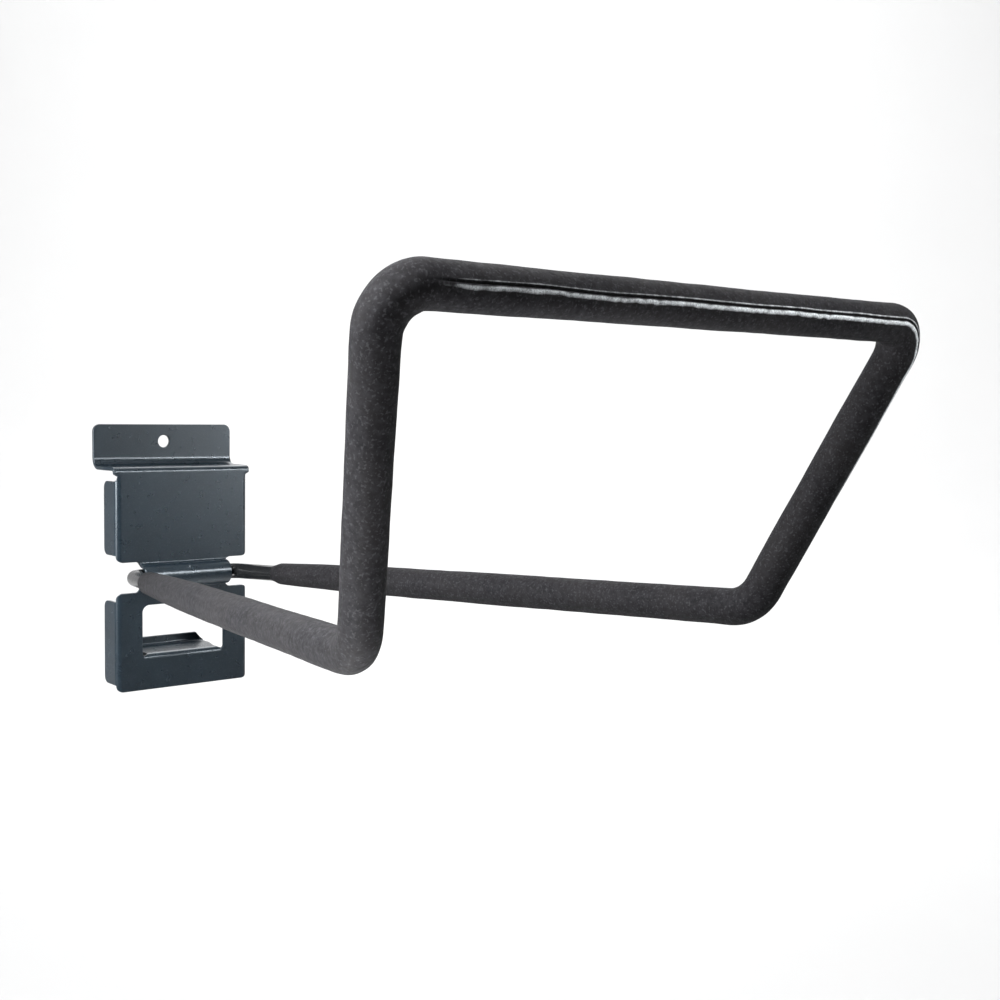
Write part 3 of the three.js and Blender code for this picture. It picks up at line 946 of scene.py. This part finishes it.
def bracket_coat():
    """Dark blue-grey satin powder coat, with fine paler flecks and a faint orange peel."""
    dark = (0.0035, 0.007, 0.0105)
    less_dark = (0.0055, 0.0103, 0.015)
    fleck = (0.035, 0.048, 0.06)
    paint = Paint("bracket_coat")
    body = paint.mix(paint.patches(14 * MM), dark, less_dark)
    flecks = paint.spread(paint.noise(0.6 * MM, 2, 0.6), 0.52, 0.76, to_high=0.3)
    paint.colour(paint.mix(flecks, body, fleck))
    paint.roughness(paint.patches(3 * MM, 0.27, 0.295))
    peel = paint.relief(paint.noise(1.1 * MM), height=0.007 * MM, strength=0.6)
    paint.relief(paint.noise(0.35 * MM, 1), height=0.008 * MM, strength=0.6, below=peel)
    paint.shader.inputs["Specular IOR Level"].default_value = 0.5
    paint.shader.inputs["Specular Tint"].default_value = (0.83, 0.92, 1, 1)
    return paint.material


def bar_coat():
    """Satin black coat."""
    black = (0.004, 0.0045, 0.005)
    less_black = (0.007, 0.0075, 0.008)
    paint = Paint("bar_coat")
    paint.colour(paint.mix(paint.patches(9 * MM), black, less_black))
    paint.roughness(paint.patches(2.5 * MM, 0.2, 0.27))
    paint.relief(paint.noise(0.8 * MM), height=0.01 * MM, strength=0.5)
    paint.shader.inputs["Specular IOR Level"].default_value = 0.5
    return paint.material


def foam():
    """Matte charcoal foam: a pebbled skin with paler specks, a painted highlight along the crease's lips
    and painted shade in its groove.
    """
    charcoal = (0.0062, 0.0062, 0.007)
    pale_charcoal = (0.0095, 0.0092, 0.0097)
    grain_colour = (0.0145, 0.0145, 0.016)
    speck = (0.034, 0.034, 0.037)
    # Painted highlight: a pale colour on the crease's lips, standing in for their shine.
    painted_lip_highlight = (0.6, 0.63, 0.65)
    # Painted shade: a near-black colour for the crease's groove.
    groove = (0.003, 0.003, 0.003)
    paint = Paint("foam")
    cloudy = paint.spread(paint.noise(22 * MM, 3), 0.35, 0.65)
    body = paint.mix(cloudy, charcoal, pale_charcoal)
    grain = paint.spread(paint.noise(1.6 * MM, 3, 0.6), 0.4, 0.75)
    body = paint.mix(grain, body, grain_colour)
    specks = paint.spread(paint.noise(0.7 * MM, 1), 0.56, 0.7, to_high=0.5)
    body = paint.mix(specks, body, speck)
    mark = paint.attribute("mark")
    # Painted highlight: the crease's lips turn pale where the mark is high, broken up by noise.
    broken = paint.spread(paint.noise(0.5 * MM, 2, 0.7), 0.34, 0.62, to_low=0.4)
    lip_highlight_share = paint.multiply(paint.spread(mark, 0.2, 0.85), broken)
    body = paint.mix(lip_highlight_share, body, painted_lip_highlight)
    # Painted shade: the crease's groove is painted near black where the mark is below 0.
    paint.colour(paint.mix(paint.spread(mark, -0.2, -0.9), body, groove))
    paint.roughness(paint.patches(1.5 * MM, 0.6, 0.78))
    pebbles = paint.relief(paint.cells(1.4 * MM), height=0.06 * MM, strength=0.3)
    paint.relief(paint.noise(1.1 * MM, 1), height=0.04 * MM, strength=0.3, below=pebbles)
    paint.shader.inputs["Specular IOR Level"].default_value = 0.04
    return paint.material


def weld_coat():
    """The bracket's coat where it lies over a weld, a little paler and rougher."""
    dark = (0.014, 0.02, 0.027)
    less_dark = (0.035, 0.042, 0.05)
    paint = Paint("weld_coat")
    paint.colour(paint.mix(paint.patches(2 * MM), dark, less_dark))
    paint.roughness(paint.patches(0.9 * MM, 0.34, 0.5))
    paint.relief(paint.noise(0.3 * MM), height=0.03 * MM, strength=0.6)
    return paint.material


# ---------------------------------------------------------------- the object
def finish_piece(piece, slot, material, *nodes):
    piece.data.materials.append(material)
    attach(piece, "root")
    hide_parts(*nodes)
    return piece


def build_object():
    bracket = finish_piece(wall_bracket(), "bracket_coat", bracket_coat(), "wall_bracket")
    bracket.modifiers.new("flat faces stay flat", "WEIGHTED_NORMAL")
    finish_piece(loop_bar(), "bar_coat", bar_coat(), "loop_bar")
    sleeve = finish_piece(foam_sleeve(), "foam", foam(), "foam_sleeve")
    weld = weld_coat()
    for height in ("upper", "lower"):
        for side in ("left", "right"):
            node = f"weld_{height}_{side}"
            finish_piece(weld_bead(f"{node}_bead", node), "weld_coat", weld, node)


# ---------------------------------------------------------------- floor, light and camera
def plain_material(name, colour, roughness):
    paint = Paint(name)
    cloudy = paint.spread(paint.noise(400 * MM), 0.3, 0.7)
    slightly_darker = tuple(0.985 * part for part in colour)
    paint.colour(paint.mix(cloudy, colour, slightly_darker))
    paint.shader.inputs["Roughness"].default_value = roughness
    return paint.material


def studio_floor():
    """A round pale floor whose far rim curves up, so that no edge shows behind the object."""
    floor_z = -0.55
    centre_radius = 0.05
    flat = 3.0
    rise = 2.4
    turn_steps = 12
    sides = 96
    rings = [(centre_radius, floor_z), (flat, floor_z)]
    for angle in evenly(0, math.pi / 2, turn_steps)[1:]:
        rings.append((flat + rise * math.sin(angle), floor_z + rise * (1 - math.cos(angle))))
    rings.append((flat + rise, floor_z + 2 * rise))
    vertices = []
    for radius, z in rings:
        vertices += [(radius * math.cos(a), radius * math.sin(a), z) for a in all_round(sides)]
    faces = [list(range(sides))]
    for row in range(len(rings) - 1):
        for side in range(sides):
            after = (side + 1) % sides
            low, high = row * sides, (row + 1) * sides
            faces.append([low + side, high + side, high + after, low + after])
    mesh = bpy.data.meshes.new("studio_floor")
    mesh.from_pydata(vertices, [], faces)
    mesh.shade_smooth()
    floor = bpy.data.objects.new("studio_floor", mesh)
    bpy.context.scene.collection.objects.link(floor)
    pale_grey = (0.72, 0.72, 0.72)
    floor.data.materials.append(plain_material("pale_floor", pale_grey, roughness=0.9))


def soft_light(name, place, target, size, power, spread=180):
    """A rectangular softbox aimed at a point. spread is how wide it shines, in degrees."""
    data = bpy.data.lights.new(name, "AREA")
    data.shape = "RECTANGLE"
    data.size, data.size_y = size
    data.energy = power
    data.spread = math.radians(spread)
    light = bpy.data.objects.new(name, data)
    light.location = place
    light.rotation_euler = (Vector(target) - Vector(place)).to_track_quat("-Z", "Y").to_euler()
    light.visible_camera = False
    bpy.context.scene.collection.objects.link(light)


def studio_light():
    """Dim light all round, softboxes close to the object and strong light on the background.

    The left and top ones graze the foam. The narrow ones in front are mirrored in the bracket's
    bends and hardly light the foam.
    """
    world = bpy.data.worlds.new("studio")
    world.use_nodes = True
    background = world.node_tree.nodes["Background"]
    background.inputs["Color"].default_value = (0.97, 0.985, 1, 1)
    background.inputs["Strength"].default_value = 0.22
    bpy.context.scene.world = world
    near_arm = (-0.07, -0.17, -0.04)
    top_bar = (0, -0.31, 0.08)
    plate = (0, -0.04, -0.02)
    uprights = (0, -0.3, 0)
    far_floor = (2.6, 3.2, 0)
    near_floor = (0.9, 1.1001, 0)     # not quite below its light, so that the light's turn is defined
    soft_light("upper_left_softbox", (-0.17, -0.17, 0.11), near_arm, (0.28, 0.08), 0.6, spread=60)
    soft_light("lower_left_softbox", (-0.13, -0.17, -0.2), near_arm, (0.28, 0.08), 0.55, spread=60)
    soft_light("side_softbox", (-0.62, -0.02, 0.1), uprights, (0.25, 0.25), 11)
    soft_light("top_softbox", (0, -0.42, 0.6), top_bar, (0.4, 0.2), 1.2, spread=60)
    soft_light("front_softbox", (0.4, -0.51, 0.02), plate, (0.16, 0.12), 0.03, spread=26)
    soft_light("upper_front_softbox", (0.32, -0.53, 0.2), plate, (0.3, 0.08), 0.1, spread=26)
    soft_light("background_light", (2.3, 2.8, 2.8), far_floor, (4, 4), 155)
    soft_light("floor_light", (0.9, 1.1, 1.7), near_floor, (2.2, 2.2), 38)
    bpy.context.scene.view_settings.view_transform = "Standard"


def camera():
    """The viewpoint: left of the object, a little above the upper ledge, looking slightly down."""
    place = Vector((-257.97, -530.28, 26.99)) * MM
    yaw = math.radians(39.4515)
    pitch = math.radians(-3.8145)
    roll = math.radians(0.7814)
    focal_length = 49.468         # in millimetres, as Blender has it, and so is the film's width
    film_width = 36
    ahead = Vector((math.sin(yaw) * math.cos(pitch), math.cos(yaw) * math.cos(pitch), math.sin(pitch)))
    right = Vector((math.cos(yaw), -math.sin(yaw), 0))
    up = right.cross(ahead)
    rolled_right = right * math.cos(roll) + up * math.sin(roll)
    rolled_up = up * math.cos(roll) - right * math.sin(roll)
    data = bpy.data.cameras.new("camera")
    data.lens = focal_length
    data.sensor_width = film_width
    data.clip_start = 0.01
    data.clip_end = 50
    made = bpy.data.objects.new("camera", data)
    turned = Matrix((rolled_right, rolled_up, -ahead)).transposed().to_4x4()
    made.matrix_world = Matrix.Translation(place) @ turned
    bpy.context.scene.collection.objects.link(made)
    bpy.context.scene.camera = made


build_object()
studio_floor()
studio_light()
camera()
